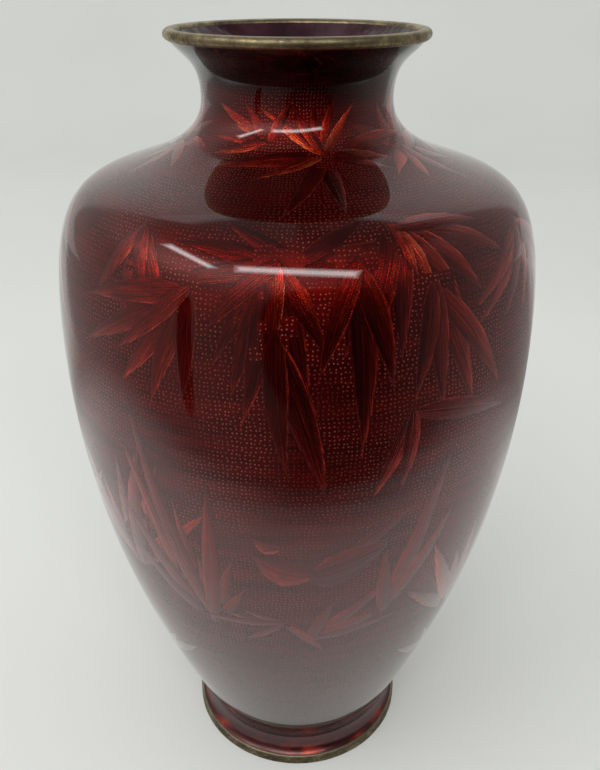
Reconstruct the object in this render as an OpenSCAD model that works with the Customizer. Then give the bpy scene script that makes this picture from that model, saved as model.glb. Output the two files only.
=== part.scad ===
// Enamelled metal vase: a spun copper body with a broad shoulder, a short neck and a soldered-on
// flared foot. Embossed silver foil lies on the copper, clear red enamel lies on the foil, a dark
// enamel lines the inside, and metal rings bind the mouth and the foot.
// The outline is that of the finished enamel. Every layer is that outline moved inwards along
// its normals, so neighbouring layers share their surfaces exactly.

/* [Foot] */
// Outer radius of the foot ring, on which the vase stands
foot_r = 39.4; // [37.5:0.1:48]
// Height of the foot ring
foot_ring_h = 4; // [3:0.2:5.4]
// How far the foot ring stands out past the enamel
foot_ring_proud = 0.9; // [0.6:0.1:1.5]
// Thickness of the foot ring's sole, under the edge of the foot
foot_sole_t = 1.2; // [0.8:0.1:1.8]
// Radius at the waist, where the foot meets the body
waist_r = 36; // [30:0.2:38]
// Height of the waist
waist_z = 10.4; // [8.6:0.2:14]

/* [Body] */
// Largest radius of the body
belly_r = 72.7; // [60:0.1:88]
// Height of the largest radius
belly_z = 162; // [130:1:175]
// Slope of the body as it leaves the waist, in degrees above level
waist_slope = 67; // [55:1:75]
// Share of the rise from waist to belly over which that slope carries
waist_carry = 0.35; // [0.25:0.01:0.4]
// Share of the same rise over which the upright belly carries down
belly_carry = 0.39; // [0.3:0.01:0.45]

/* [Shoulder and neck] */
// Radius of the shoulder's turn
shoulder_r = 58.5; // [50:0.5:62]
// How far the shoulder's turn lies below the top
shoulder_drop = 39; // [35:0.5:44]
// Slope of the shoulder there, in degrees above level
shoulder_slope = 26; // [20:1:34]
// Share of the rise from belly to shoulder over which the upright belly carries up
shoulder_carry = 0.8; // [0.6:0.01:0.85]
// How far the shoulder's slope carries outwards
shoulder_out = 8; // [5:0.5:10]
// How far the shoulder's slope carries inwards
shoulder_in = 10; // [7:0.5:13]
// Smallest radius of the neck
neck_r = 27.1; // [22:0.1:32.6]
// How far the smallest radius lies below the top
neck_drop = 17.7; // [15:0.1:21]
// Share of the rise from shoulder to neck over which the upright neck carries down
neck_carry = 0.66; // [0.5:0.01:0.75]

/* [Mouth] */
// Overall height
total_h = 250; // [230:1:300]
// Outer radius of the mouth's metal ring
rim_r = 36.6; // [32:0.1:44]
// Height of that ring
rim_h = 3; // [2.4:0.1:3.6]
// Slope of the flared lip under the ring, in degrees above level
lip_slope = 50; // [44:1:60]
// Share of the rise from neck to lip over which the upright neck carries up
lip_carry = 0.66; // [0.5:0.01:0.75]
// How far the lip's slope carries down
lip_flare = 6; // [4:0.5:8]

/* [Layers] */
// Thickness of the copper wall
copper_t = 1.1; // [0.8:0.1:1.4]
// Thickness of the silver foil
foil_t = 0.2; // [0.1:0.05:0.3]
// Thickness of the clear red enamel
enamel_t = 0.9; // [0.6:0.1:1.2]
// Thickness of the dark enamel inside and underneath
lining_t = 0.6; // [0.4:0.1:0.8]
// Size of the solder fillet between the body and the foot
solder_leg = 1; // [0.8:0.1:1.4]

/* [Hidden] */
$fn = 128;

// Points along each stretch of the outline
long_steps = 26;
short_steps = 14;
// Width of the chamfer where the inside wall turns into the floor
floor_cove = 3;
// Softened edge of the foot ring
ring_edge = 0.4;
// How far the foot's flare carries up from the ring and down from the waist
foot_flare = 2.5;
// Slope of that flare at the ring, in degrees above level
foot_slope = 35;
// Step of the mouth ring's half round, in degrees
bead_step = 7.5;
// How the mouth ring turns in: its reach inwards at the top, and its droop and set-out at the
// lining, as shares of its half height
bead_reach = 0.8;
bead_droop = 0.25;
bead_set_out = 0.07;

// Depth of each boundary below the finished surface
under_enamel = enamel_t;
under_foil = under_enamel + foil_t;
under_copper = under_foil + copper_t;
under_lining = under_copper + lining_t;

up = [0, 1];

// A direction that points outwards (1) or inwards (-1), at a slope above level
function slope(angle, side) = [side * cos(angle), sin(angle)];

// A cubic curve from a to d, which leaves towards b and arrives from c
function curve(a, b, c, d, steps) = [for (i = [0:steps]) let (t = i / steps)
    a * pow(1 - t, 3) + 3 * b * t * pow(1 - t, 2) + 3 * c * t * t * (1 - t) + d * pow(t, 3)];

// A list without its first point
function rest(line) = [for (i = [1:len(line) - 1]) line[i]];

function reversed(line) = [for (i = [len(line) - 1:-1:0]) line[i]];

// The unit normal at point i, to the left of the way the line runs
function normal_at(line, i) =
    let (way = line[min(i + 1, len(line) - 1)] - line[max(i - 1, 0)])
    [-way[1], way[0]] / norm(way);

// The line moved to its left by depth
function moved(line, depth) = [for (i = [0:len(line) - 1]) line[i] + depth * normal_at(line, i)];

// The finished outline of the body, from the waist up to the lip
waist = [waist_r, waist_z];
belly = [belly_r, belly_z];
shoulder = [shoulder_r, total_h - shoulder_drop];
neck = [neck_r, total_h - neck_drop];
lip = [rim_r - rim_h / 2, total_h - rim_h];
body_rise = belly[1] - waist[1];
shoulder_rise = shoulder[1] - belly[1];
neck_rise = neck[1] - shoulder[1];
lip_rise = lip[1] - neck[1];

lower_curve = curve(waist, waist + waist_carry * body_rise * slope(waist_slope, 1),
    belly - belly_carry * body_rise * up, belly, long_steps);
upper_curve = curve(belly, belly + shoulder_carry * shoulder_rise * up,
    shoulder - shoulder_out * slope(shoulder_slope, -1), shoulder, long_steps);
neck_curve = curve(shoulder, shoulder + shoulder_in * slope(shoulder_slope, -1),
    neck - neck_carry * neck_rise * up, neck, short_steps);
lip_curve = curve(neck, neck + lip_carry * lip_rise * up,
    lip - lip_flare * slope(lip_slope, 1), lip, short_steps);
outline = concat(lower_curve, rest(upper_curve), rest(neck_curve), rest(lip_curve));

// The finished outline of the foot, from the waist down into the foot ring
foot_edge = [foot_r - foot_ring_proud, foot_ring_h];
foot_curve = curve(waist, waist - foot_flare * up,
    foot_edge + foot_flare * slope(foot_slope, -1), foot_edge, short_steps);
foot_outline = concat(foot_curve, [[foot_edge[0], foot_sole_t]]);

// A layer boundary on the body, at a depth
function body_line(depth) = moved(outline, depth);

// A layer boundary on the foot, at a depth: it starts on the same boundary of the body, and
// ends on the ring's sole, with the flare kept inside the upright stretch that the ring holds
function foot_line(depth) =
    let (line = moved(foot_outline, -depth), end_r = foot_edge[0] - depth)
    concat([body_line(depth)[0]],
        [for (i = [1:len(line) - 2]) if (line[i][0] <= end_r) line[i]],
        [[end_r, foot_sole_t]]);

// The flat underside of the copper body, and the floor above it
base_z = body_line(under_foil)[0][1];
copper_floor_z = base_z + copper_t;

// An inside boundary of the body, closed by a floor at floor_z
function inside_line(depth, floor_z) =
    let (wall = [for (p = body_line(depth)) if (p[1] > floor_z + floor_cove) p])
    concat([[0, floor_z], [wall[0][0] - floor_cove, floor_z]], wall);

// Inside of the copper foot: its top edge butts on the body's flat underside
function foot_inside(depth, top_z) =
    let (line = foot_line(depth), joint_r = waist_r - depth)
    concat([[joint_r, top_z]], [for (p = rest(line)) if (p[1] < top_z - solder_leg) p]);

// The space between two boundaries, spun round the axis
module shell(outside, inside) {
    rotate_extrude() polygon(concat(outside, reversed(inside)));
}

module copper_body() {
    outside = concat([[0, base_z]], body_line(under_foil));
    color("#b06a45") shell(outside, inside_line(under_copper, copper_floor_z));
}

module copper_foot() {
    color("#b06a45") shell(foot_line(under_foil), foot_inside(under_copper, base_z));
}

module foot_solder() {
    corner = foot_inside(under_copper, base_z)[0];
    lower = foot_inside(under_copper, base_z)[1];
    color("#a9a59a") rotate_extrude() polygon([corner, lower, corner - [solder_leg, 0]]);
}

module body_foil() {
    color("#d8d8dc") shell(body_line(under_enamel), body_line(under_foil));
}

module foot_foil() {
    color("#d8d8dc") shell(foot_line(under_enamel), foot_line(under_foil));
}

module body_enamel() {
    color("#7a0d0a") shell(outline, body_line(under_enamel));
}

module foot_enamel() {
    color("#7a0d0a") shell(foot_line(0), foot_line(under_enamel));
}

module inner_enamel() {
    color("#3a1a26") shell(inside_line(under_copper, copper_floor_z),
        inside_line(under_lining, copper_floor_z + lining_t));
}

// Dark enamel under the body and inside the foot, carried over the solder
module base_enamel() {
    wall = foot_inside(under_copper, base_z);
    face = foot_inside(under_lining, base_z - lining_t);
    outside = concat([[0, base_z], wall[0] - [solder_leg, 0]], rest(wall));
    inside = concat([[0, base_z - lining_t], face[0] - [solder_leg, 0]], rest(face));
    color("#2c1820") shell(outside, inside);
}

// The mouth's ring: a half round outside, a tighter turn inside, seated on the ends of all layers
module rim_ring() {
    bead = rim_h / 2;
    outer_turn = [for (angle = [-90:bead_step:90]) lip + [bead * cos(angle), bead * (1 + sin(angle))]];
    crown = lip + [0, rim_h];
    inner_end = body_line(under_lining)[len(outline) - 1];
    inner_turn = curve(crown, [lip[0] - bead_reach * bead, crown[1]],
        [inner_end[0] + bead_set_out * bead, crown[1] - bead_droop * bead], inner_end,
        short_steps);
    color("#9a8a63") rotate_extrude() polygon(concat(outer_turn, rest(inner_turn)));
}

// The foot's ring: a band round the bottom of the foot, with a sole under its edge
module foot_ring() {
    seat_r = foot_edge[0];
    inner_r = seat_r - under_lining;
    color("#7d735a") rotate_extrude() polygon([
        [inner_r, 0], [foot_r - ring_edge, 0], [foot_r, ring_edge],
        [foot_r, foot_ring_h - ring_edge], [foot_r - ring_edge, foot_ring_h],
        [seat_r, foot_ring_h], [seat_r, foot_sole_t], [inner_r, foot_sole_t]]);
}

copper_body();
copper_foot();
foot_solder();
body_foil();
foot_foil();
body_enamel();
foot_enamel();
inner_enamel();
base_enamel();
rim_ring();
foot_ring();
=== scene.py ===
# %% [markdown]
# # A red foil-enamel vase
# The vase is copper, covered with embossed silver foil and then with clear red enamel, so the
# leaves that show are in the foil, under glass. The metalwork and sizes come from the packed
# CAD model, and this lesson gives each visible piece its surface.

# %% Load the frame
import math
import random

import bmesh
import bpy
import numpy as np
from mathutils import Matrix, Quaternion, Vector, noise


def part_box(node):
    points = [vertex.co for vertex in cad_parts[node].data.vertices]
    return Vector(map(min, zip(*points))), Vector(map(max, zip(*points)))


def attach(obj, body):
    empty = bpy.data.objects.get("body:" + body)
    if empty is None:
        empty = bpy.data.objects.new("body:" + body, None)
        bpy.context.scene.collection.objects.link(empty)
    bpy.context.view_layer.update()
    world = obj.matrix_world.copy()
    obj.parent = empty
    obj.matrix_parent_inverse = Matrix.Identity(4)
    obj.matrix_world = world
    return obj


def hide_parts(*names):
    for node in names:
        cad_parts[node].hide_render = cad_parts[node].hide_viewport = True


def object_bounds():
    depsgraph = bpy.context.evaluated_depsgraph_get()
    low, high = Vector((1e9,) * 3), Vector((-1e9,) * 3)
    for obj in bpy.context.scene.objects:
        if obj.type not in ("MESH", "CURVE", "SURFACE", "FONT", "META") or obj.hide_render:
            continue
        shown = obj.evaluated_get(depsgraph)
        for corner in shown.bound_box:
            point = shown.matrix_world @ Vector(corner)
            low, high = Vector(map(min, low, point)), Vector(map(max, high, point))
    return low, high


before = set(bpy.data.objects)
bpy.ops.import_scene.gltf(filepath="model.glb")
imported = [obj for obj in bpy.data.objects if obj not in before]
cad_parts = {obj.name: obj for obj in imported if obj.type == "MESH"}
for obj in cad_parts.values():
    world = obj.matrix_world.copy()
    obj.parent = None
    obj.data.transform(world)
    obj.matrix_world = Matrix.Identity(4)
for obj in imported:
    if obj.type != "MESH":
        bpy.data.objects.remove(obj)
cad_low, cad_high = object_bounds()
print("CAD box", [round(v, 4) for v in cad_low], [round(v, 4) for v in cad_high])

MM = 0.001

# %% [markdown]
# ## Small helpers
# Colours are easiest to pick as sRGB hex values, but shaders work in linear light, so one
# function turns them over. A second one adds a node, sets it up and links it, which keeps a
# long material readable: a value may be a number, a colour, a socket or a whole node.


# %% Helpers for colours and nodes
def colour(text):
    parts = [int(text[i:i + 2], 16) / 255 for i in (0, 2, 4)]
    linear = [p / 12.92 if p <= 0.04045 else ((p + 0.055) / 1.055) ** 2.4 for p in parts]
    return (*linear, 1.0)


def add(tree, kind, inputs=None, **settings):
    made = tree.nodes.new("ShaderNode" + kind)
    for name, value in settings.items():
        setattr(made, name, value)
    for key, value in (inputs or {}).items():
        if isinstance(value, bpy.types.Node):
            value = next(socket for socket in value.outputs if socket.enabled)
        if isinstance(value, bpy.types.NodeSocket):
            tree.links.new(value, made.inputs[key])
        else:
            made.inputs[key].default_value = value
    return made


def new_material(name):
    material = bpy.data.materials.new(name)
    material.use_nodes = True
    tree = material.node_tree
    tree.nodes.clear()
    return material, tree


def finish_material(tree, shader):
    add(tree, "OutputMaterial", {"Surface": shader})


# %% [markdown]
# ## Reading the outlines
# Each CAD layer is a body of revolution, so all it says is in its section: a set of radii and
# heights. The points that two neighbouring layers share are hidden, and what is left is the
# outline that shows.


# %% Read a node's section
def section(node):
    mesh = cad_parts[node].data
    spots = np.array([vertex.co[:] for vertex in mesh.vertices])
    pairs = np.c_[np.hypot(spots[:, 0], spots[:, 1]), spots[:, 2]]
    pairs = np.unique(pairs.round(6), axis=0)
    kept = []
    for pair in pairs[np.lexsort((pairs[:, 0], pairs[:, 1]))]:
        near = [other for other in kept[-8:] if np.hypot(*(pair - other)) < 0.03 * MM]
        if not near:
            kept.append(pair)
    return np.array(kept)


def split_section(node, *neighbours):
    own = section(node)
    others = np.concatenate([section(other) for other in neighbours])
    gap = np.hypot(*(own[:, None] - others[None]).transpose(2, 0, 1)).min(axis=1)
    return own[gap > 0.05 * MM], own[gap <= 0.05 * MM]


def to_axis(line, end):
    """Carries the line on to the axis, level, from its first (0) or last (-1) point."""
    radius, height = line[end]
    if radius < 0.01 * MM:
        return line
    return np.insert(line, 0 if end == 0 else len(line), (0, height), axis=0)


body_line, body_hidden = split_section("body_enamel", "body_foil")
foot_line, foot_hidden = split_section("foot_enamel", "foot_foil")
lining_line, lining_hidden = split_section("inner_enamel", "copper_body")
base_line, base_hidden = split_section("base_enamel", "copper_body", "copper_foot", "foot_solder")
for title, line in (("body", body_line), ("foot", foot_line), ("lining", lining_line),
                    ("base", base_line)):
    print(title, "outline has", len(line), "points, top at", round(line[:, 1].max() / MM, 1), "mm")

# %% [markdown]
# ## A lathe
# A vase is spun or turned, so a section swept round the axis is the natural way to make it.
# The section is first resampled on a smooth curve through its points, because a polished
# surface shows every corner in its reflections. Spinning keeps the pieces exactly round, and a
# very small wobble is added afterwards, since fired enamel is never quite true.


# %% Smooth lines and the lathe
def smooth_line(line, spacing):
    steps = np.hypot(*np.diff(line, axis=0).T)
    along = np.concatenate([[0], np.cumsum(steps)])
    slopes = np.gradient(line, along, axis=0)
    count = max(2, round(along[-1] / spacing) + 1)
    where = np.linspace(0, along[-1], count)
    seg = np.clip(np.searchsorted(along, where, side="right") - 1, 0, len(line) - 2)
    width = (along[seg + 1] - along[seg])[:, None]
    t = ((where - along[seg])[:, None]) / width
    a, b, ma, mb = line[seg], line[seg + 1], slopes[seg] * width, slopes[seg + 1] * width
    return (a * (2 * t**3 - 3 * t**2 + 1) + ma * (t**3 - 2 * t**2 + t)
            + b * (3 * t**2 - 2 * t**3) + mb * (t**3 - t**2)), where


def lathe(name, shown, hidden, steps, closed=True, crease=40):
    bm = bmesh.new()
    along = bm.verts.layers.float.new("along")
    reach = np.concatenate([[0], np.cumsum(np.hypot(*np.diff(shown, axis=0).T))])
    line = []
    for (radius, height), far in zip(shown, reach):
        vertex = bm.verts.new((radius, 0, height))
        vertex[along] = far
        line.append(vertex)
    for radius, height in hidden:
        vertex = bm.verts.new((radius, 0, height))
        vertex[along] = -1
        line.append(vertex)
    edges = [bm.edges.new(pair) for pair in zip(line, line[1:])]
    if closed:
        edges.append(bm.edges.new((line[-1], line[0])))
    bmesh.ops.spin(bm, geom=line + edges, axis=(0, 0, 1), cent=(0, 0, 0), dvec=(0, 0, 0),
                   angle=math.tau, steps=steps, use_merge=True)
    bmesh.ops.remove_doubles(bm, verts=bm.verts, dist=0.002 * MM)
    bmesh.ops.recalc_face_normals(bm, faces=bm.faces)
    for face in bm.faces:
        face.smooth = True
    for edge in bm.edges:
        edge.smooth = edge.calc_face_angle(0) < math.radians(crease)
    unclosed = sum(len(edge.link_faces) != 2 for edge in bm.edges)
    mesh = bpy.data.meshes.new(name)
    bm.to_mesh(mesh)
    bm.free()
    piece = bpy.data.objects.new(name, mesh)
    bpy.context.scene.collection.objects.link(piece)
    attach(piece, "root")
    print(name, "has", len(mesh.polygons), "faces and", unclosed, "open edges")
    return piece


def wobble(piece, size, depth, seed):
    for vertex in piece.data.vertices:
        radial = Vector((vertex.co.x, vertex.co.y, 0))
        if radial.length > 1 * MM:
            push = noise.noise(vertex.co / size + Vector((seed, 0, 0)))
            vertex.co += radial.normalized() * push * depth


# %% [markdown]
# ## The enamelled body
# The outline is divided every 1.2 mm, which is the spacing of the punch marks in the foil's
# ground, so the rows of marks can follow the rings of the mesh later.

# %% Turn the body's enamel
PUNCH = 1.2 * MM
BODY_STEPS = 240
# The back of the enamel lies on the foil, so every second point of its outline will do
HIDDEN_SKIP = 2
body_smooth, body_reach = smooth_line(body_line, PUNCH)
body = lathe("enamel_body", body_smooth, body_hidden[::-HIDDEN_SKIP], BODY_STEPS)
wobble(body, 35 * MM, 0.11 * MM, 3)
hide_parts("body_enamel")


# %% [markdown]
# ## Drawing the leaves
# The picture is sprays of long bamboo leaves pressed into the foil. Each leaf is a flat local pattern: a
# middle point on the vase, a direction along it and one across it. The faces it crosses store these as
# attributes, and the material works out from them how far along and across the leaf each point lies. The
# edges stay sharp at any distance, and no picture file is needed. A spray is written as an artist would
# describe it: where it springs from, and for each leaf its heading, length, width and a painted
# highlight, how brightly its foil is painted as catching the light.


# %% Describe the sprays
# The widths below are those of a broad leaf, and every leaf is drawn a little slimmer
SLENDER = 0.82


def spray(around, height, *leaves):
    """Leaves from one place: degrees right of the front, height in mm, and then for each leaf its
    heading (0 is to the right, 90 is up), length, width, painted shine and bend. The painted shine is a
    painted highlight: how brightly the leaf's foil is coloured as catching the light."""
    return [(around, height, turn, length, width * SLENDER, painted_shine, bend)
            for turn, length, width, painted_shine, bend in leaves]


# The fourth number of each leaf is its painted shine, a painted highlight for how much its foil catches
# the light
front = spray(0, 205, (172, 30, 7, .1, .3), (8, 34, 7, .1, -.2), (148, 22, 6, .15, .2),
              (35, 22, 6, .12, -.3), (-170, 34, 7, .15, .2))
# Round the neck
front += spray(12, 222.5, (-88, 24, 6, .25, .2), (-115, 28, 6, .3, .3), (10, 31, 6, .35, .2),
               (-23, 19, 5, .4, -.3), (-171, 31, 6, .35, .2), (-8, 20, 5, .35, .3),
               (100, 13, 4, .3, .2), (75, 15, 4, .35, .3), (-152, 19, 4.4, .9, .3),
               (144, 21, 3.4, 1, .2), (51, 16, 3.2, .95, -.2), (122, 15, 3.6, .45, .3))
front += spray(-15, 225, (152, 19, 4, .7, .2), (128, 12, 3.5, .4, .2), (178, 17, 4, .5, -.2),
               (-160, 16, 4, .6, .3), (60, 12, 3.5, .35, .2))
# Right of the shoulder
front += spray(22, 211, (-20, 34, 8, .3, .4), (-42, 30, 8, .4, .3), (-95, 34, 8, .3, -.3),
               (-110, 40, 8, .25, .3), (-57, 30, 7, .45, .3), (-68, 20, 4.6, 1, .25),
               (-80, 15, 4, .75, -.2), (-5, 26, 7, .3, .2))
front += spray(28, 199, (-68, 39, 8, .5, .35), (-52, 42, 8, .4, .3), (-86, 34, 7, .3, -.3),
               (-100, 30, 7, .25, .2))
front += spray(24, 168, (-14, 36, 8, .12, .3), (-112, 28, 6, .4, .3), (-95, 24, 6, .3, .3))
# Hanging from the middle of the shoulder
front += spray(-4, 206, (-122, 30, 7, .35, -.4), (-109, 36, 8, .45, -.3), (-100, 42, 9, .35, .3),
               (-80, 46, 9, .3, .2), (-62, 26, 7, .3, .3), (-92, 22, 6, .6, .2),
               (-135, 24, 6, .3, -.3))
front += spray(12, 206, (-98, 24, 6, .65, .2), (-88, 50, 9, .3, .2), (-74, 34, 8, .3, .3),
               (-110, 30, 7, .3, -.2))
front += spray(-5, 191, (-72, 48, 10, .35, .3), (-86, 40, 8, .3, -.3))
# Left of the shoulder
front += spray(-36, 209, (-94, 26, 5, .65, -.4), (-120, 22, 6, .35, .3), (-60, 24, 7, .3, .2),
               (-75, 18, 6, .4, .2))
front += spray(-21, 199, (-126, 36, 8, .55, .3), (-149, 42, 8, .35, .2), (-112, 34, 8, .5, -.3),
               (-168, 34, 8, .3, -.2), (-94, 30, 7, .2, .2), (-138, 30, 6, .45, .2))
# Rising from below
front += spray(-22, 90, (109, 68, 9, .3, -.3), (99, 50, 7, .4, .3), (92, 32, 6, .4, -.2),
               (76, 34, 6, .3, .3), (122, 52, 8, .25, -.3), (62, 24, 5, .2, .3),
               (136, 40, 7, .15, .2), (104, 82, 8, .15, .2), (86, 60, 7, .2, -.2))
front += spray(3, 88, (42, 22, 4, .4, .2), (46, 36, 6, .25, .3), (26, 34, 6, .25, -.3),
               (70, 20, 5, .15, .2), (12, 30, 5, .15, .2))
front += spray(22, 96, (76, 60, 8, .2, .3), (62, 44, 7, .2, -.3), (95, 30, 6, .12, .2))
front += spray(-3, 96, (176, 18, 4, .4, .3), (-52, 20, 4, .4, .3), (160, 14, 3.5, .3, .2),
               (-140, 18, 4, .2, .2), (-175, 30, 4, .2, -.2))
# A small bird on the stem, low on the front: tail, back, breast, wing and head
bird = spray(3, 115, (40, 36, 7, .12, .2), (30, 26, 15, .12, .1), (155, 19, 14, .2, .4),
             (24, 24, 9, .0, -.3)) + spray(-4, 127, (160, 8, 8, .25, .3), (-165, 5, 2.5, .5, 0))
front += bird
print("front sprays hold", len(front), "leaves")


# %% [markdown]
# The back was drawn by the same hand, so it follows the same habits: leaves hang from the
# shoulder, fans rise from the foot and small sprays go round the neck. A seeded draw spreads
# them, which gives the same vase on every run.

# %% Spread the remaining sprays round the back
draw = random.Random(11)


# A fan's leaves get a painted shine drawn at random up to the given top value, a painted highlight
def fan(around, height, middle, spread, count, size, most_painted_shine):
    leaves = []
    for index in range(count):
        heading = middle + spread * (index / (count - 1) - 0.5) + draw.uniform(-6, 6)
        length = size * draw.uniform(0.6, 1.15)
        leaves.append((heading, length, length * 0.1 + 3.5, draw.uniform(0.2, most_painted_shine),
                       draw.uniform(-0.4, 0.4)))
    draw.shuffle(leaves)
    return spray(around, height, *leaves)


back = []
for around in range(62, 310, 31):
    back += fan(around + draw.uniform(-6, 6), 205 + draw.uniform(-6, 6), -95, 120, 8, 40, 0.7)
for around in range(55, 320, 44):
    back += fan(around + draw.uniform(-8, 8), 88 + draw.uniform(-12, 18), 92, 90, 7, 52, 0.6)
for around in range(60, 330, 45):
    back += fan(around, 222, 0, 300, 9, 20, 0.9)
for around in range(80, 300, 48):
    back += fan(around, 150 + draw.uniform(-15, 15), -100, 70, 4, 34, 0.5)
for around in range(60, 310, 40):
    back += fan(around + draw.uniform(-8, 8), 56 + draw.uniform(-6, 6), 90, 100, 5, 24, 0.4)
leaves = back + front
print("the whole vase has", len(leaves), "leaves")


# %% [markdown]
# Each leaf now gets its place on the curved surface, and each face keeps the three topmost
# leaves that cross it. A leaf drawn later lies over one drawn earlier.

# %% Lay the leaves on the body
LEAF_SLOTS = 3
MARGIN = 1.6 * MM


def on_body(around, reach):
    radius = np.interp(reach, body_reach, body_smooth[:, 0])
    height = np.interp(reach, body_reach, body_smooth[:, 1])
    ahead = [np.interp(reach + 1 * MM, body_reach, body_smooth[:, k]) for k in (0, 1)]
    angle = math.radians(around)
    outward = np.array([math.sin(angle), -math.cos(angle), 0])
    level = np.array([math.cos(angle), math.sin(angle), 0])
    rise = outward * (ahead[0] - radius) + np.array([0, 0, ahead[1] - height])
    rise /= np.linalg.norm(rise)
    return outward * radius + np.array([0, 0, height]), level, rise


def leaf_frame(leaf):
    around, height, heading, length, width, painted_shine, bend = leaf
    start = np.interp(height * MM, body_smooth[:, 1], body_reach)
    turn = math.radians(heading)
    half = length / 2 * MM
    reach = np.clip(start + half * math.sin(turn), 0, body_reach[-1])
    radius = np.interp((start + reach) / 2, body_reach, body_smooth[:, 0])
    middle, level, rise = on_body(around + math.degrees(half * math.cos(turn) / radius), reach)
    along = level * math.cos(turn) + rise * math.sin(turn)
    across = rise * math.cos(turn) - level * math.sin(turn)
    return middle, along, across, length * MM, width / 2 * MM, painted_shine, bend


def store_leaves(piece, leaves):
    mesh = piece.data
    centres = np.empty(len(mesh.polygons) * 3)
    mesh.polygons.foreach_get("center", centres)
    centres = centres.reshape(-1, 3)
    shown = np.array([all(mesh.attributes["along"].data[v].value >= 0 for v in face.vertices)
                      for face in mesh.polygons])
    taken = np.zeros(len(centres), dtype=int)
    parts = ("middle", "along", "across", "look")
    # An unused place holds a leaf far off to one side, which colours nothing
    empty = {"middle": (0, 0, -1), "along": (0, 0, 0), "across": (0, 0, 9), "look": (0, 0, 0)}
    stored = {(slot, part): np.tile(np.array(empty[part], dtype=float), (len(centres), 1))
              for slot in range(LEAF_SLOTS) for part in parts}
    for number, leaf in reversed(list(enumerate(leaves))):
        middle, along, across, length, half, painted_shine, bend = leaf_frame(leaf)
        offset = centres - middle
        far = np.abs(offset @ along) - length / 2
        wide = np.abs(offset @ across) - half * (1 + abs(bend))
        deep = np.abs(offset @ np.cross(along, across))
        hit = shown & (far < MARGIN) & (wide < MARGIN) & (deep < 0.35 * length + 4 * MM)
        for slot in range(LEAF_SLOTS):
            mine = hit & (taken == slot)
            stored[slot, "middle"][mine] = middle
            stored[slot, "along"][mine] = along / length
            stored[slot, "across"][mine] = across / half
            stored[slot, "look"][mine] = (painted_shine, bend, number * 0.37 % 1)
        taken[hit] += 1
    for (slot, part), values in stored.items():
        layer = mesh.attributes.new(f"leaf_{slot}_{part}", "FLOAT_VECTOR", "FACE")
        layer.data.foreach_set("vector", values.ravel())
    print("faces with a leaf", int((taken > 0).sum()), "of", int(shown.sum()),
          "and crowded", int((taken > LEAF_SLOTS).sum()))


store_leaves(body, leaves)

# %% [markdown]
# The ground between the leaves is punched with a round-nosed tool, row after row. A UV map
# counts those marks: one unit up is one row, one unit round is one mark. Every few rows the
# count round the vase changes with its girth, so the marks stay about the same distance apart.

# %% Count the punch marks in a UV map
ROWS_TOGETHER = 4
NECK_FOOT = 216 * MM
NECK_FINER = 0.75


def punch_map(piece):
    mesh = piece.data
    spots = np.empty(len(mesh.vertices) * 3)
    mesh.vertices.foreach_get("co", spots)
    spots = spots.reshape(-1, 3)
    reach = np.array([item.value for item in mesh.attributes["along"].data])
    angle = np.arctan2(spots[:, 1], spots[:, 0])
    layer = mesh.uv_layers.new(name="punch")
    for face in mesh.polygons:
        ring = [reach[v] for v in face.vertices]
        if min(ring) < 0:
            continue
        pitch = PUNCH if face.center.z < NECK_FOOT else PUNCH * NECK_FINER
        rows = sum(ring) / len(ring) / pitch
        band = int(rows // ROWS_TOGETHER)
        girth = math.tau * np.interp((band + 0.5) * ROWS_TOGETHER * pitch, body_reach,
                                     body_smooth[:, 0])
        marks = round(girth / pitch)
        turn = math.atan2(face.center.y, face.center.x)
        for loop, v in zip(face.loop_indices, face.vertices):
            side = (angle[v] - turn + math.pi) % math.tau - math.pi
            layer.data[loop].uv = ((turn + side) / math.tau * marks, reach[v] / pitch)


punch_map(body)
belly_marks = round(math.tau * body_smooth[:, 0].max() / PUNCH)
print("about", belly_marks, "marks go round the belly")
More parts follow.
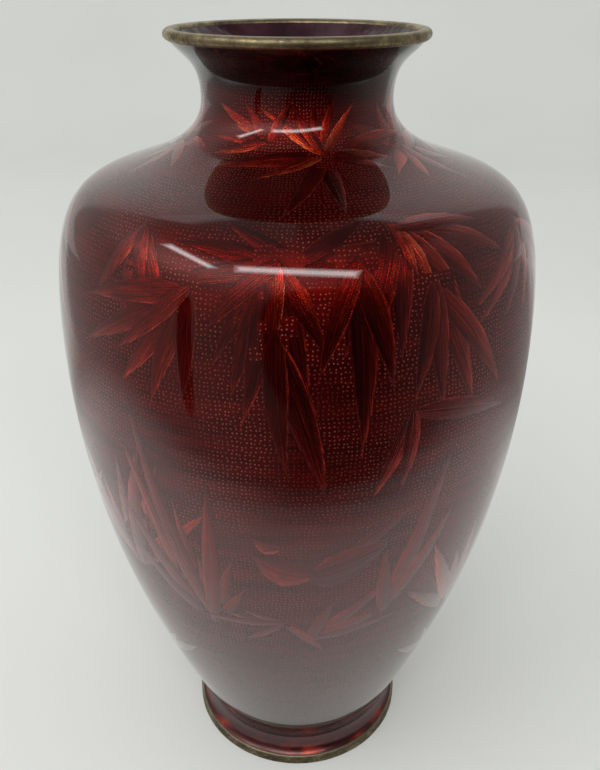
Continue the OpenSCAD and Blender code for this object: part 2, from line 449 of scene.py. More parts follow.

# %% [markdown]
# ## Red enamel over foil
# The foil is silver and the glass over it is a deep ruby, so together they look like a red metal under a
# clear coat: bright where the foil tilts to a light, almost black where it faces a dark room. One opaque
# shader gives that: a metallic base that takes the foil's relief, and a smooth coat of glass on top, and
# painted light in the base colour adds to it. The leaves are crowned and finely streaked along their
# length, and each half tilts its own way.


# %% One leaf as nodes
def leaf_nodes(tree, place, slot):
    part = {name: add(tree, "Attribute", attribute_type="GEOMETRY",
                      attribute_name=f"leaf_{slot}_{name}").outputs["Vector"]
            for name in ("middle", "along", "across", "look")}
    look = add(tree, "SeparateXYZ", {0: part["look"]})
    painted_shine, bend, seed = look.outputs
    offset = add(tree, "VectorMath", {0: place, 1: part["middle"]}, operation="SUBTRACT")
    u_middle = add(tree, "VectorMath", {0: offset, 1: part["along"]}, operation="DOT_PRODUCT")
    v_flat = add(tree, "VectorMath", {0: offset, 1: part["across"]}, operation="DOT_PRODUCT")
    u_middle, v_flat = u_middle.outputs["Value"], v_flat.outputs["Value"]
    u = add(tree, "Math", {0: u_middle, 1: 0.5}, operation="ADD", use_clamp=True)
    # The blade curves: the further from its middle, the more it moves across
    square = add(tree, "Math", {0: u_middle, 1: u_middle}, operation="MULTIPLY")
    curve = add(tree, "Math", {0: square, 1: 4.0}, operation="MULTIPLY")
    shift = add(tree, "Math", {0: curve, 1: bend}, operation="MULTIPLY")
    v = add(tree, "Math", {0: v_flat, 1: shift}, operation="ADD")
    # Half width of a bamboo leaf: quick to open, slow to close to its point
    open_up = add(tree, "Math", {0: u, 1: 0.6}, operation="POWER")
    left = add(tree, "Math", {0: 1.0, 1: u}, operation="SUBTRACT")
    close = add(tree, "Math", {0: left, 1: 1.1}, operation="POWER")
    product = add(tree, "Math", {0: open_up, 1: close}, operation="MULTIPLY")
    width = add(tree, "Math", {0: product, 1: 2.9}, operation="MULTIPLY")
    aside = add(tree, "Math", {0: v}, operation="ABSOLUTE")
    inside = add(tree, "Math", {0: width, 1: aside}, operation="SUBTRACT")
    # Fine streaks that run the length of the blade, and fray its edges a little
    far = add(tree, "Math", {0: u, 1: 2.0}, operation="MULTIPLY")
    over = add(tree, "Math", {0: v, 1: 5.5}, operation="MULTIPLY")
    deep = add(tree, "Math", {0: seed, 1: 37.0}, operation="MULTIPLY")
    blade = add(tree, "CombineXYZ", {0: far, 1: over, 2: deep})
    streak = add(tree, "TexNoise", {"Vector": blade, "Scale": 2.2, "Detail": 6.0,
                                    "Roughness": 0.7}).outputs["Fac"]
    fray = add(tree, "MapRange", {0: streak, 1: 0.3, 2: 0.7, 3: -0.14, 4: 0.14})
    inside = add(tree, "Math", {0: inside, 1: fray}, operation="ADD")
    mask = add(tree, "Math", {0: inside, 1: 9.0}, operation="MULTIPLY", use_clamp=True)
    # A painted shadow: a thin dark line round the outside of the blade
    outline = add(tree, "MapRange", {0: inside, 1: -0.3, 2: 0.0, 3: 1.0, 4: 0.55})
    in_reach = add(tree, "Math", {0: width, 1: 0.05}, operation="GREATER_THAN")
    outline = add(tree, "Mix", {0: in_reach, 2: 1.0, 3: outline}, data_type="FLOAT")
    wide = add(tree, "Math", {0: width, 1: 0.05}, operation="ADD")
    across = add(tree, "Math", {0: v, 1: wide}, operation="DIVIDE")
    return {"mask": mask, "painted_shine": painted_shine, "across": across, "streak": streak,
            "outline": outline}


# %% [markdown]
# The brightness of a leaf is its painted shine, times a slow change along the blade, times the streaks.
# It is painted stronger on the half that tilts to the light, a painted highlight. The same parts give
# the height for the relief: a crown across the blade with a groove at the midrib.

# %% Tone, painted light and height of a leaf
def leaf_tone_and_painted_light(tree, leaf):
    # Painted light: the half of the blade that tilts to the light is painted brighter
    half = add(tree, "MapRange", {0: leaf["across"], 1: -0.6, 2: 0.7, 3: 0.45, 4: 1.0})
    slow = add(tree, "MapRange", {0: leaf["streak"], 1: 0.38, 2: 0.64, 3: 0.1, 4: 1.55})
    streaks_and_painted_light = add(tree, "Math", {0: half, 1: slow}, operation="MULTIPLY")
    # A painted highlight: a thin bright line along one edge of each blade
    off_edge = add(tree, "Math", {0: leaf["across"], 1: 0.86}, operation="SUBTRACT")
    off_edge = add(tree, "Math", {0: off_edge}, operation="ABSOLUTE")
    edge = add(tree, "MapRange", {0: off_edge, 1: 0.0, 2: 0.12, 3: 0.8, 4: 0.0})
    streaks_and_painted_light = add(tree, "Math", {0: streaks_and_painted_light, 1: edge}, operation="ADD")
    painted_shine = add(tree, "Math", {0: leaf["painted_shine"], 1: 0.85, 2: 0.15}, operation="MULTIPLY_ADD")
    return add(tree, "Math", {0: streaks_and_painted_light, 1: painted_shine}, operation="MULTIPLY")


def leaf_height(tree, leaf):
    square = add(tree, "Math", {0: leaf["across"], 1: leaf["across"]}, operation="MULTIPLY")
    crown = add(tree, "Math", {0: 1.0, 1: square}, operation="SUBTRACT", use_clamp=True)
    rib = add(tree, "Math", {0: leaf["across"]}, operation="ABSOLUTE")
    groove = add(tree, "MapRange", {0: rib, 1: 0.0, 2: 0.12, 3: -0.25, 4: 0.0})
    lines = add(tree, "Math", {0: leaf["streak"], 1: 0.5}, operation="MULTIPLY")
    with_lines = add(tree, "Math", {0: crown, 1: lines}, operation="ADD")
    return add(tree, "Math", {0: with_lines, 1: groove}, operation="ADD")


# %% [markdown]
# The punched ground is a field of small dimples. A Voronoi pattern with little randomness sets one in
# each unit square of the punch map. Each dimple is painted paler as a glint, a painted highlight of its
# own strength, as hand-set marks catch the light differently.

# %% The punched ground as nodes
def punched_ground(tree, place):
    marks = add(tree, "UVMap", uv_map="punch")
    cells = add(tree, "TexVoronoi", {"Vector": marks, "Scale": 1.0, "Randomness": 0.42},
                voronoi_dimensions="2D", feature="F1")
    dimple = add(tree, "MapRange", {0: cells.outputs["Distance"], 1: 0.06, 2: 0.26, 3: 1.0,
                                    4: 0.0}, interpolation_type="SMOOTHSTEP")
    random_tone = add(tree, "SeparateColor", {0: cells.outputs["Color"]})
    glint = add(tree, "MapRange", {0: random_tone.outputs[0], 1: 0.0, 2: 1.0, 3: 0.5, 4: 1.0})
    cloud = add(tree, "TexNoise", {"Vector": place, "Scale": 45.0, "Detail": 3.0})
    # Painted light: cloudy patches where the marks' painted glints are stronger
    painted_light_patches = add(tree, "MapRange", {0: cloud.outputs["Fac"], 1: 0.4, 2: 0.6, 3: 0.2, 4: 1.1})
    each = add(tree, "Math", {0: dimple, 1: glint}, operation="MULTIPLY")
    tone = add(tree, "Math", {0: each, 1: painted_light_patches}, operation="MULTIPLY")
    return tone, dimple, cloud


# %% [markdown]
# The foil gets painted shade by height: it is darker towards the foot and nearly black under the mouth,
# where the neck below the rim lies in shade. The function gives the share of the foil's colour that is
# kept.

# %% Painted shade by height
FOOT_END, BELLY = 30 * MM, 170 * MM
NECK_END, MOUTH = 231 * MM, 241 * MM


def painted_shade_by_height(tree, place):
    height = add(tree, "SeparateXYZ", {0: place}).outputs[2]
    low = add(tree, "MapRange", {0: height, 1: FOOT_END, 2: BELLY, 3: 0.2, 4: 0.9})
    high = add(tree, "MapRange", {0: height, 1: NECK_END, 2: MOUTH, 3: 1.0, 4: 0.004},
               interpolation_type="SMOOTHSTEP")
    return add(tree, "Math", {0: low, 1: high}, operation="MULTIPLY")


# %% [markdown]
# Now the foil is put together. The ground is nearly black between the marks, with faint level lines from
# burnishing, and the marks are painted paler than the foil round them, as painted glints. The leaves are
# laid over it, the lowest first, and each blade's painted shadow darkens the ground round it. Their foil
# is smoother, so it glints more.

# %% Foil with leaves on a punched ground
GROUND_LINES = 7.0


def leafy_foil(tree, place):
    ground, dimple, cloud = punched_ground(tree, place)
    height = add(tree, "Math", {0: dimple, 1: -0.35}, operation="MULTIPLY")
    # The marks' painted glints, which also tint them pale
    painted_dot_glints = add(tree, "Math", {0: ground, 1: 0.75}, operation="MULTIPLY")
    flat = add(tree, "Mapping", {"Vector": place, "Scale": (1.0, 1.0, GROUND_LINES)})
    burnished = add(tree, "TexNoise", {"Vector": flat, "Scale": 38.0, "Detail": 6.0,
                                       "Roughness": 0.65})
    between = add(tree, "MapRange", {0: burnished.outputs["Fac"], 1: 0.36, 2: 0.68, 3: 0.03,
                                     4: 0.2})
    tone = add(tree, "Math", {0: painted_dot_glints, 1: between}, operation="MAXIMUM")
    paleness = add(tree, "Math", {0: painted_dot_glints, 1: 0.85}, operation="MULTIPLY")
    rough = add(tree, "MapRange", {0: cloud.outputs["Fac"], 3: 0.42, 4: 0.55})
    for slot in reversed(range(LEAF_SLOTS)):
        leaf = leaf_nodes(tree, place, slot)
        mask = leaf["mask"]
        rough = add(tree, "Mix", {0: mask, 2: rough, 3: 0.26}, data_type="FLOAT")
        paleness = add(tree, "Mix", {0: mask, 2: paleness, 3: 0.0}, data_type="FLOAT")
        # Painted shadow: the ground just round each blade is darkened
        tone = add(tree, "Math", {0: tone, 1: leaf["outline"]}, operation="MULTIPLY")
        # Each blade's tone carries its painted shine and painted light
        tone = add(tree, "Mix", {0: mask, 2: tone, 3: leaf_tone_and_painted_light(tree, leaf)}, data_type="FLOAT")
        height = add(tree, "Mix", {0: mask, 2: height, 3: leaf_height(tree, leaf)},
                     data_type="FLOAT")
    return tone, paleness, rough, height, painted_shade_by_height(tree, place)


# %% [markdown]
# The foot's foil is plain. Its colour is bright in blotches just above the ring and dark further up.

# %% Plain foil
GLOW_LOW, GLOW_HIGH = 4.2 * MM, 7.2 * MM
# Painted shade: the whole foot's foil colour is darkened to this share
FOOT_PAINTED_SHADE = 0.7


def plain_foil(tree, place):
    stretch = add(tree, "Mapping", {"Vector": place, "Scale": (1.0, 1.0, 3.0)})
    cloud = add(tree, "TexNoise", {"Vector": stretch, "Scale": 90.0, "Detail": 5.0})
    rise = add(tree, "SeparateXYZ", {0: place}).outputs[2]
    near = add(tree, "MapRange", {0: rise, 1: GLOW_LOW, 2: GLOW_HIGH, 3: 1.0, 4: 0.08})
    blotch = add(tree, "MapRange", {0: cloud.outputs["Fac"], 1: 0.47, 2: 0.66, 3: 0.06, 4: 1.0})
    tone = add(tree, "Math", {0: near, 1: blotch}, operation="MULTIPLY")
    paleness = add(tree, "Math", {0: tone, 1: 0.2}, operation="MULTIPLY")
    rough = add(tree, "MapRange", {0: cloud.outputs["Fac"], 3: 0.3, 4: 0.45})
    return tone, paleness, rough, cloud.outputs["Fac"], FOOT_PAINTED_SHADE


# %% [markdown]
# Ruby glass over silver goes from nearly black, through blood red, to orange where the foil throws the
# light straight back. The ramp holds those colours, and the painted light in the foil's tone picks from
# them, so its orange end is painted highlight. The foil is metal, so its metallic value is 1, and the
# polished glass is the coat, with the index of a lead enamel.

# %% Put the red enamel together
def red_enamel(name, foil, polish):
    material, tree = new_material(name)
    place = add(tree, "TexCoord").outputs["Object"]
    tone, paleness, rough, height, painted_shade = foil(tree, place)
    ramp = add(tree, "ValToRGB", {0: tone})
    stops = ramp.color_ramp
    stops.elements[0].color = colour("4a0603")
    stops.elements[1].color = colour("ff7a4a")
    for position, tint in ((0.22, "840f08"), (0.5, "c42c16"), (0.78, "f2461e")):
        stops.elements.new(position).color = colour(tint)
    pale = add(tree, "Mix", {0: paleness, 6: ramp.outputs["Color"], 7: colour("cf7d70")},
               data_type="RGBA").outputs[2]
    # Painted shade by height darkens the foil's colour here
    tint = add(tree, "VectorMath", {0: pale, "Scale": painted_shade}, operation="SCALE")
    bump = add(tree, "Bump", {"Height": height, "Distance": 0.3 * MM, "Strength": 0.8})
    shader = add(tree, "BsdfPrincipled", {
        "Base Color": tint, "Metallic": 1.0, "Roughness": rough, "Normal": bump,
        "Coat Weight": 1.0, "Coat Roughness": polish, "Coat IOR": 1.6})
    finish_material(tree, shader)
    print(name, "has", len(tree.nodes), "nodes")
    return material


body.data.materials.append(red_enamel("ruby_enamel_on_embossed_foil", leafy_foil, 0.035))

# %% [markdown]
# ## The foot
# The foot is a short flared ring under the same enamel, over plain foil, with no leaves. A
# flared ring is hard to polish, so its glass is given a duller coat.

# %% Turn the foot's enamel
foot = lathe("enamel_foot", foot_line, foot_hidden[::-1], 180)
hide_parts("foot_enamel")
foot.data.materials.append(red_enamel("ruby_enamel_on_plain_foil", plain_foil, 0.25))


# %% [markdown]
# ## Dark enamel inside and underneath
# Enamel pulls on the metal as it cools, so the back of the copper is enamelled too. This
# counter enamel is opaque and nearly black, with a maroon cast and a soft ripple. Nobody
# polished it after the firing, so it is duller in patches.

# %% Counter enamel
def dark_enamel(name, low, high, roughness, ripples, depth):
    material, tree = new_material(name)
    place = add(tree, "TexCoord").outputs["Object"]
    cloud = add(tree, "TexNoise", {"Vector": place, "Scale": 60.0, "Detail": 4.0})
    ramp = add(tree, "ValToRGB", {0: cloud.outputs["Fac"]})
    ramp.color_ramp.elements[0].color = colour(low)
    ramp.color_ramp.elements[0].position = 0.35
    ramp.color_ramp.elements[1].color = colour(high)
    ramp.color_ramp.elements[1].position = 0.7
    ripple = add(tree, "TexNoise", {"Vector": place, "Scale": ripples, "Detail": 2.0})
    bump = add(tree, "Bump", {"Height": ripple.outputs["Fac"], "Distance": depth})
    dull = add(tree, "MapRange", {0: cloud.outputs["Fac"], 1: 0.45, 2: 0.6, 3: roughness,
                                  4: roughness + 0.3})
    shader = add(tree, "BsdfPrincipled", {
        "Base Color": ramp.outputs["Color"], "Roughness": dull, "IOR": 1.54,
        "Normal": bump})
    finish_material(tree, shader)
    return material


# %% [markdown]
# The lining is one shell from the middle of the floor up to the mouth. The underside is another,
# from the axis out and down inside the foot. Both outlines end on the axis, so the spin closes
# them.

# %% Turn the lining and the underside
LINING_RIPPLES, LINING_RIPPLE_DEPTH = 110.0, 1.6 * MM
BASE_RIPPLES, BASE_RIPPLE_DEPTH = 260.0, 0.03 * MM
lining = lathe("enamel_lining", to_axis(lining_line, 0),
               to_axis(lining_hidden[::-HIDDEN_SKIP], -1), 180, closed=False)
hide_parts("inner_enamel")
lining.data.materials.append(dark_enamel("maroon_counter_enamel", "1e0c12", "44242e", 0.12,
                                         LINING_RIPPLES, LINING_RIPPLE_DEPTH))

base_order = base_line[np.lexsort((-base_line[:, 0], base_line[:, 1]))][::-1]
base_back = base_hidden[np.lexsort((-base_hidden[:, 0], base_hidden[:, 1]))]
base = lathe("enamel_base", to_axis(base_order, 0), to_axis(base_back, -1), 120, closed=False)
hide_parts("base_enamel")
base.data.materials.append(dark_enamel("dark_base_enamel", "160b0f", "2a151c", 0.3,
                                       BASE_RIPPLES, BASE_RIPPLE_DEPTH))

# %% [markdown]
# ## The metal rings
# The mouth and the foot are bound with rolled, silvered brass. The silver has worn and gone olive, so
# the colour runs from dark tarnish in the hollows to bare pale metal where hands have rubbed it. The
# rings were bent and soldered by hand, and a slight unevenness shows it. The patches are about 8 mm
# across and the grain 1 mm, and the top edge is painted pale: rubbed bare, with a painted highlight
# along it.

# %% Tarnished metal
PATCHES, GRAIN = 120.0, 900.0



def tarnished(name, dark, middle, pale, roughness, pale_top_from, pale_top_full):
    material, tree = new_material(name)
    place = add(tree, "TexCoord").outputs["Object"]
    patch = add(tree, "TexNoise", {"Vector": place, "Scale": PATCHES, "Detail": 6.0,
                                   "Roughness": 0.7})
    grain = add(tree, "TexNoise", {"Vector": place, "Scale": GRAIN, "Detail": 3.0})
    mixed = add(tree, "Mix", {0: 0.3, 2: patch.outputs["Fac"], 3: grain.outputs["Fac"]},
                data_type="FLOAT")
    ramp = add(tree, "ValToRGB", {0: mixed})
    ramp.color_ramp.elements[0].color = colour(dark)
    ramp.color_ramp.elements[0].position = 0.36
    ramp.color_ramp.elements[1].color = colour(pale)
    ramp.color_ramp.elements[1].position = 0.66
    ramp.color_ramp.elements.new(0.5).color = colour(middle)
    rough = add(tree, "MapRange", {0: mixed, 1: 0.35, 2: 0.65, 3: roughness + 0.15,
                                   4: roughness - 0.08})
    rise = add(tree, "SeparateXYZ", {0: place}).outputs[2]
    # The top edge is painted pale: rubbed metal, with a painted highlight along it
    rubbed_and_painted_highlight = add(tree, "MapRange", {0: rise, 1: pale_top_from, 2: pale_top_full, 3: 0.0, 4: 0.5})
    surface = add(tree, "Mix", {0: rubbed_and_painted_highlight, 6: ramp.outputs["Color"], 7: colour("d9cfb8")},
                  data_type="RGBA").outputs[2]
    bump = add(tree, "Bump", {"Height": mixed, "Distance": 0.08 * MM, "Strength": 0.5})
    shader = add(tree, "BsdfPrincipled", {"Base Color": surface, "Metallic": 1.0,
                                          "Roughness": rough, "Normal": bump})
    finish_material(tree, shader)
    return material


# %% [markdown]
# The mouth's ring is a bead. Its section is closed, so its points are put in order by their
# angle about the section's own middle.

# %% Turn the mouth's ring
def ring_round(node):
    points = section(node)
    centre = points.mean(axis=0)
    turn = np.arctan2(points[:, 1] - centre[1], points[:, 0] - centre[0])
    return points[turn.argsort()]


rim = lathe("rim_bead", ring_round("rim_ring"), [], 240)
wobble(rim, 9 * MM, 0.16 * MM, 8)
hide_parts("rim_ring")
rim_top = cad_high[2]
rim.data.materials.append(tarnished("worn_silvered_brass", "6f6450", "9c8f70", "cfc193", 0.42,
                                    rim_top - 0.5 * MM, rim_top - 0.1 * MM))

# %% [markdown]
# The foot's ring is a flat band with a sole under the foot's edge, and its corners are softened.

# %% Turn the foot's ring
SOFT_EDGE = 0.4 * MM
ring_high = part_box("foot_ring")[1]
seat_radius = foot_line[:, 0].max()
sole_height = foot_line[:, 1].min()
inner_radius = base_line[:, 0].max()
ring_section = [(inner_radius, 0), (ring_high[0] - SOFT_EDGE, 0), (ring_high[0], SOFT_EDGE),
                (ring_high[0], ring_high[2] - SOFT_EDGE),
                (ring_high[0] - SOFT_EDGE, ring_high[2]), (seat_radius, ring_high[2]),
                (seat_radius, sole_height), (inner_radius, sole_height)]
foot_ring = lathe("foot_band", np.array(ring_section), [], 180)
wobble(foot_ring, 12 * MM, 0.08 * MM, 5)
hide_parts("foot_ring")
foot_ring.data.materials.append(tarnished("dull_silvered_brass", "3a3226", "62563f", "968a70",
                                          0.5, ring_high[2] - SOFT_EDGE, ring_high[2]))


# %% [markdown]
# ## Hidden metal
# The copper, foil and solder are covered, but they still get their own finish, so a view that
# cuts through the vase would show what it is made of.

# %% Hidden layers
def hidden_metal(name, low, high, roughness, scale):
    material, tree = new_material(name)
    place = add(tree, "TexCoord").outputs["Object"]
    stretch = add(tree, "Mapping", {"Vector": place, "Scale": (1.0, 1.0, 12.0)})
    lines = add(tree, "TexNoise", {"Vector": stretch, "Scale": scale, "Detail": 3.0})
    ramp = add(tree, "ValToRGB", {0: lines.outputs["Fac"]})
    ramp.color_ramp.elements[0].color = colour(low)
    ramp.color_ramp.elements[1].color = colour(high)
    bump = add(tree, "Bump", {"Height": lines.outputs["Fac"], "Distance": 0.03 * MM})
    shader = add(tree, "BsdfPrincipled", {"Base Color": ramp.outputs["Color"], "Metallic": 1.0,
                                          "Roughness": roughness, "Normal": bump})
    finish_material(tree, shader)
    return material


inner_metals = {
    "copper": (hidden_metal("spun_copper", "8a4a30", "c87a55", 0.35, 80.0),
               ("copper_body", "copper_foot")),
    "foil": (hidden_metal("silver_foil", "b8b8bc", "e6e6ea", 0.22, 200.0),
             ("body_foil", "foot_foil")),
    "solder": (hidden_metal("silver_solder", "8c8a80", "b4b2a8", 0.4, 150.0), ("foot_solder",)),
}
for material, nodes in inner_metals.values():
    for node in nodes:
        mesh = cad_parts[node].data
        mesh.materials.clear()
        mesh.materials.append(material)
    print(material.name, "is on", ", ".join(nodes))

# %% [markdown]
# ## The stage
# The vase stands on a sheet of pale paper that sweeps up behind it. Glass mostly shows what is
# round it, so the room in front matters as much as the lamps: it is dark in the middle, where
# somebody stands, lighter at both sides, and lit up near the ceiling on the left. These parts
# of the room are seen only in reflections, so they never shade or light the vase.


# %% Meshes for the stage
def stage_object(name, bm, material, reflection_only):
    mesh = bpy.data.meshes.new(name)
    bm.to_mesh(mesh)
    bm.free()
    made = bpy.data.objects.new(name, mesh)
    bpy.context.scene.collection.objects.link(made)
    if reflection_only:
        for ray in ("camera", "diffuse", "transmission", "volume_scatter", "shadow"):
            setattr(made, "visible_" + ray, False)
    made.data.materials.append(material)
    return made


def raised_sheet(corners, move):
    bm = bmesh.new()
    low = [bm.verts.new(spot) for spot in corners]
    edges = [bm.edges.new(pair) for pair in zip(low, low[1:])]
    lifted = bmesh.ops.extrude_edge_only(bm, edges=edges)["geom"]
    bmesh.ops.translate(bm, vec=move,
                        verts=[item for item in lifted if isinstance(item, bmesh.types.BMVert)])
    for face in bm.faces:
        face.smooth = True
    return bm


def flat_sheet(half_width, front, back, height):
    return raised_sheet([(-half_width, front, height), (half_width, front, height)],
                        (0, back - front, 0))


# %% [markdown]
# The paper lies flat under the vase and curves up into a wall far behind it, so there is no
# corner. It is matt, with very faint clouds of fibre.

# %% The paper sweep
def paper():
    material, tree = new_material("pale_paper")
    place = add(tree, "TexCoord").outputs["Object"]
    fibre = add(tree, "TexNoise", {"Vector": place, "Scale": 3.0, "Detail": 2.0})
    ramp = add(tree, "ValToRGB", {0: fibre.outputs["Fac"]})
    ramp.color_ramp.elements[0].color = colour("dddeda")
    ramp.color_ramp.elements[1].color = colour("e8e8e5")
    shader = add(tree, "BsdfPrincipled", {"Base Color": ramp.outputs["Color"], "Roughness": 0.8,
                                          "Specular IOR Level": 0.15})
    finish_material(tree, shader)
    return material


HALF_WIDTH, FLOOR_END, BEND, WALL_TOP = 4, 1.0, 0.9, 2.6
BEND_STEPS = 12
sweep = [(-HALF_WIDTH, -HALF_WIDTH, 0), (-HALF_WIDTH, FLOOR_END, 0)]
for index in range(1, BEND_STEPS + 1):
    turn = math.radians(90 * index / BEND_STEPS)
    sweep.append((-HALF_WIDTH, FLOOR_END + BEND * math.sin(turn), BEND * (1 - math.cos(turn))))
sweep.append((-HALF_WIDTH, FLOOR_END + BEND, WALL_TOP))
stage_object("floor", raised_sheet(sweep, (2 * HALF_WIDTH, 0, 0)), paper(), False)
print("the paper's outline has", len(sweep), "points")


# %% [markdown]
# The room is a dome with a painted glow. Its brightness depends on the direction from the vase:
# a ramp round it, a bright patch high up on the left, and a dim ceiling. Behind the vase the
# dome is left open, up to near the ceiling, because the paper stands there.

# %% The room's glow
ROOM_CENTRE = 0.12
# Degrees round from the front, left first, and the brightness there
ROUND_LEVELS = ((-134, 0.33), (-90, 0.33), (-60, 0.21), (-32, 0.16), (-10, 0.08), (0, 0.02), (32, 0.015),
                (60, 0.1), (90, 0.27), (134, 0.3))


def bell(tree, value, centre, spread):
    away = add(tree, "Math", {0: value, 1: centre}, operation="SUBTRACT")
    scaled = add(tree, "Math", {0: away, 1: spread}, operation="DIVIDE")
    square = add(tree, "Math", {0: scaled, 1: 2.0}, operation="POWER")
    falling = add(tree, "Math", {0: square, 1: -1.0}, operation="MULTIPLY")
    return add(tree, "Math", {0: falling}, operation="EXPONENT")


def room_glow(name, mask):
    material, tree = new_material(name)
    place = add(tree, "TexCoord").outputs["Object"]
    raised = add(tree, "VectorMath", {0: place, 1: (0, 0, ROOM_CENTRE)}, operation="SUBTRACT")
    way = add(tree, "VectorMath", {0: raised}, operation="NORMALIZE")
    part = add(tree, "SeparateXYZ", {0: way})
    forward = add(tree, "Math", {0: part.outputs[1], 1: -1.0}, operation="MULTIPLY")
    around = add(tree, "Math", {0: part.outputs[0], 1: forward}, operation="ARCTAN2")
    above = add(tree, "Math", {0: part.outputs[2]}, operation="ARCSINE")
    share = add(tree, "MapRange", {0: around, 1: -math.pi, 2: math.pi, 3: 0.0, 4: 1.0})
    wall = add(tree, "ValToRGB", {0: share})
    stops = wall.color_ramp
    stops.elements.remove(stops.elements[1])
    for number, (degrees, level) in enumerate(ROUND_LEVELS):
        position = degrees / 360 + 0.5
        stop = stops.elements[0] if number == 0 else stops.elements.new(position)
        stop.position = position
        stop.color = (level, level, level, 1)
    patch_round = bell(tree, around, -0.75, 0.85)
    patch_up = bell(tree, above, 0.58, 0.2)
    patch = add(tree, "Math", {0: patch_round, 1: patch_up}, operation="MULTIPLY")
    glow = add(tree, "Math", {0: patch, 1: 0.75, 2: wall.outputs["Color"]},
               operation="MULTIPLY_ADD")
    high = add(tree, "MapRange", {0: above, 1: 0.72, 2: 0.95, 3: 0.0, 4: 1.0},
               interpolation_type="SMOOTHSTEP")
    ceiling = add(tree, "MapRange", {0: around, 1: -1.5, 2: 1.5, 3: 0.17, 4: 0.08})
    level = add(tree, "Mix", {0: high, 2: glow, 3: ceiling}, data_type="FLOAT")
    light = add(tree, "Emission", {"Color": colour("fff9f4"), "Strength": level})
    clear = add(tree, "BsdfTransparent")
    mixed = add(tree, "MixShader", {0: mask(tree, place), 1: clear, 2: light})
    finish_material(tree, mixed)
    return material


# %% [markdown]
# Two masks say where the glow is. One leaves the gap behind the vase. The other leaves pale table round
# the vase and ends the table in the dark room at its sides; in front of the vase it paints a soft dark
# fade on the table, a painted shadow of the person who stands there.

# %% Where the room is
# Degrees round from the front and above level, and how softly the gap's edges fade
OPEN_FROM, OPEN_TO, SOFT = 137, 58, 2


def within_room(tree, place):
    part = add(tree, "SeparateXYZ", {0: place})
    forward = add(tree, "Math", {0: part.outputs[1], 1: -1.0}, operation="MULTIPLY")
    around = add(tree, "Math", {0: part.outputs[0], 1: forward}, operation="ARCTAN2")
    turned = add(tree, "Math", {0: around}, operation="ABSOLUTE")
    behind = add(tree, "MapRange", {0: turned, 1: math.radians(OPEN_FROM - SOFT),
                                    2: math.radians(OPEN_FROM + SOFT), 3: 0.0, 4: 1.0})
    level = add(tree, "VectorMath", {0: place, 1: (1, 1, 0)}, operation="MULTIPLY")
    reach = add(tree, "VectorMath", {0: level}, operation="LENGTH").outputs["Value"]
    rise = add(tree, "Math", {0: part.outputs[2], 1: reach}, operation="ARCTAN2")
    below = add(tree, "MapRange", {0: rise, 1: math.radians(OPEN_TO - SOFT),
                                   2: math.radians(OPEN_TO + SOFT), 3: 1.0, 4: 0.0})
    gap = add(tree, "Math", {0: behind, 1: below}, operation="MULTIPLY")
    return add(tree, "Math", {0: 1.0, 1: gap}, operation="SUBTRACT")


TABLE_SHIFT, TABLE_ACROSS, TABLE_AHEAD, TABLE_LEFT = 0.03, 0.35, 0.2, 0.4


def beyond_table_and_painted_shadow(tree, place):
    # Painted shadow: in front of the vase the table fades to dark, seen only in reflections
    moved = add(tree, "VectorMath", {0: place, 1: (TABLE_SHIFT, 0, 0)}, operation="ADD")
    oval = add(tree, "VectorMath", {0: moved, 1: (1 / TABLE_ACROSS, 1 / TABLE_AHEAD, 0)},
               operation="MULTIPLY")
    away = add(tree, "VectorMath", {0: oval}, operation="LENGTH").outputs["Value"]
    edge = add(tree, "MapRange", {0: away, 1: 0.75, 2: 1.3, 3: 0.0, 4: 1.0},
               interpolation_type="SMOOTHSTEP")
    part = add(tree, "SeparateXYZ", {0: place})
    right = add(tree, "Math", {0: part.outputs[0], 1: 0.0}, operation="MAXIMUM")
    deep = add(tree, "Math", {0: right, 1: -0.5, 2: part.outputs[1]}, operation="MULTIPLY_ADD")
    past = add(tree, "Math", {0: part.outputs[0], 1: -1.0, 2: -TABLE_LEFT},
               operation="MULTIPLY_ADD")
    left = add(tree, "Math", {0: past, 1: 0.0}, operation="MAXIMUM")
    deep = add(tree, "Math", {0: left, 1: -1.2, 2: deep}, operation="MULTIPLY_ADD")
    ahead = add(tree, "MapRange", {0: deep, 1: 0.15, 2: 0.32, 3: 1.0, 4: 0.0},
                interpolation_type="SMOOTHSTEP")
    return add(tree, "Math", {0: edge, 1: ahead}, operation="MULTIPLY")


# %% [markdown]
# The dome is a sphere without its lower part, and a sheet just above the paper carries the table's end
# and the painted shadow in front of the vase.

# %% Dome and table edge
DOME = 2.4
BELOW_FLOOR = -0.01
dome = bmesh.new()
bmesh.ops.create_uvsphere(dome, u_segments=72, v_segments=36, radius=DOME)
bmesh.ops.translate(dome, vec=(0, 0, ROOM_CENTRE), verts=dome.verts)
low_faces = [face for face in dome.faces if face.calc_center_median().z < BELOW_FLOOR]
bmesh.ops.delete(dome, geom=low_faces, context="FACES")
print("the dome keeps", len(dome.faces), "faces")
stage_object("room", dome, room_glow("room_glow", within_room), True)
SHEET_REACH, SHEET_BACK, SHEET_HEIGHT = 2.6, 1.6, 0.4 * MM
stage_object("table_edge_and_painted_shadow", flat_sheet(SHEET_REACH, -SHEET_REACH, SHEET_BACK, SHEET_HEIGHT),
             room_glow("table_edge_and_painted_shadow_glow", beyond_table_and_painted_shadow), True)


# %% [markdown]
# Somebody stands in front of the vase with one hand raised. The shapes are soft at their edges,
# because nothing in a room is as sharp as a cut card. Their fill is a rounded rectangle: the
# cubes of the two shares of its half sizes add up to one on its edge.

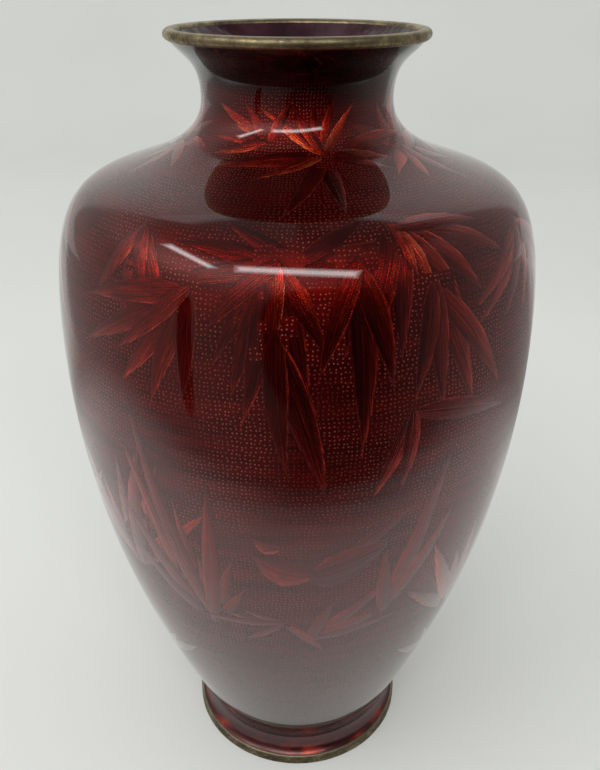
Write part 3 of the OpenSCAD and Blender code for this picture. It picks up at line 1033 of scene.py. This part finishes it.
# %% Dark shapes in front
def soft_dark(name, tint, middle, half, softness):
    material, tree = new_material(name)
    place = add(tree, "TexCoord").outputs["Object"]
    offset = add(tree, "VectorMath", {0: place, 1: middle}, operation="SUBTRACT")
    share = add(tree, "VectorMath", {0: offset, 1: [1 / h if h else 0 for h in half]},
                operation="MULTIPLY")
    size = add(tree, "VectorMath", {0: share}, operation="ABSOLUTE")
    part = add(tree, "SeparateXYZ", {0: size})
    wide = add(tree, "Math", {0: part.outputs[0], 1: 3.0}, operation="POWER")
    tall = add(tree, "Math", {0: part.outputs[2], 1: 3.0}, operation="POWER")
    reach = add(tree, "Math", {0: wide, 1: tall}, operation="ADD")
    fill = add(tree, "MapRange", {0: reach, 1: 1.0, 2: 1.0 - softness, 3: 0.0, 4: 1.0},
               interpolation_type="SMOOTHSTEP")
    light = add(tree, "Emission", {"Color": colour(tint), "Strength": 1.0})
    clear = add(tree, "BsdfTransparent")
    finish_material(tree, add(tree, "MixShader", {0: fill, 1: clear, 2: light}))
    return material


def dark_card(name, middle, half, softness):
    x, y, z = middle
    corners = [(x - half[0], y, z - half[1]), (x + half[0], y, z - half[1])]
    paint = soft_dark(name + "_paint", "1c1a1a", middle, (half[0], 0, half[1]), softness)
    stage_object(name, raised_sheet(corners, (0, 0, 2 * half[1])), paint, True)


dark_card("person", (0.13, -0.42, 0.16), (0.25, 0.19), 0.3)
dark_card("arm", (-0.265, -0.26, 0.12), (0.036, 0.125), 0.35)

# %% [markdown]
# Two strip lights hang overhead, one across and one along, and give the two long highlights on
# the shoulder. A wide soft lamp lights the paper. A lamp's power is its brightness times its
# area, so a level here means the same for a small lamp as for a large one.

# %% Lights and world
STRIP_LAYERS = ((0.1, 7), (0.15, 5), (0.21, 3), (0.28, 1.5))


def area_lamp(name, size, place, level, aim, turn=0):
    data = bpy.data.lights.new(name, "AREA")
    data.shape = "RECTANGLE"
    data.size, data.size_y = size
    data.energy = level * math.pi * size[0] * size[1]
    lamp = bpy.data.objects.new(name, data)
    lamp.location = place
    towards = (Vector(aim) - Vector(place)).to_track_quat("-Z", "Y")
    lamp.rotation_euler = (towards @ Quaternion((0, 0, 1), math.radians(turn))).to_euler()
    bpy.context.scene.collection.objects.link(lamp)
    return lamp


# Each strip is four lamps, one inside the other, so that it fades towards its edges
for number, (width, level) in enumerate(STRIP_LAYERS):
    area_lamp(f"strip_front_{number}", (1.3 + width, width), (0.02, -1.27, 1.2), level,
              (0.02, -0.1, 0.2), -7)
    area_lamp(f"strip_side_{number}", (0.75 * width, 0.75 + width), (-1.03, -0.62, 1.2), level,
              (-1.03, -0.62, 0))
soft = area_lamp("paper_lamp", (1.8, 1.8), (-0.7, -0.4, 1.7), 0.6, (0, 0, 0))
soft.visible_glossy = False

world = bpy.data.worlds.new("pale_surroundings")
bpy.context.scene.world = world
world.use_nodes = True
world.node_tree.nodes.clear()
pale = add(world.node_tree, "Background", {"Color": colour("e4e6e6"), "Strength": 0.82})
add(world.node_tree, "OutputWorld", {"Surface": pale})
bpy.context.scene.view_settings.view_transform = "Standard"
print("lamps", 2 * len(STRIP_LAYERS) + 1)

# %% [markdown]
# ## The camera
# It stands close and a little above the mouth, and looks down, which makes the shoulder look
# wide and the foot small. Its place is given as shares of the vase's height.

# %% Camera
PITCH_DOWN = 27.79
FRONT_SHARE, UP_SHARE = 0.9559, 1.0619
height = cad_high[2] - cad_low[2]
camera_data = bpy.data.cameras.new("camera")
camera = bpy.data.objects.new("camera", camera_data)
bpy.context.scene.collection.objects.link(camera)
bpy.context.scene.camera = camera
camera.location = (0, -FRONT_SHARE * height, UP_SHARE * height)
camera.rotation_euler = (math.radians(90 - PITCH_DOWN), 0, 0)
camera_data.sensor_width = 36
camera_data.lens = 37.53
camera_data.shift_x = 0.0035
camera_data.clip_start = 0.01
print("camera", [round(v, 3) for v in camera.location])
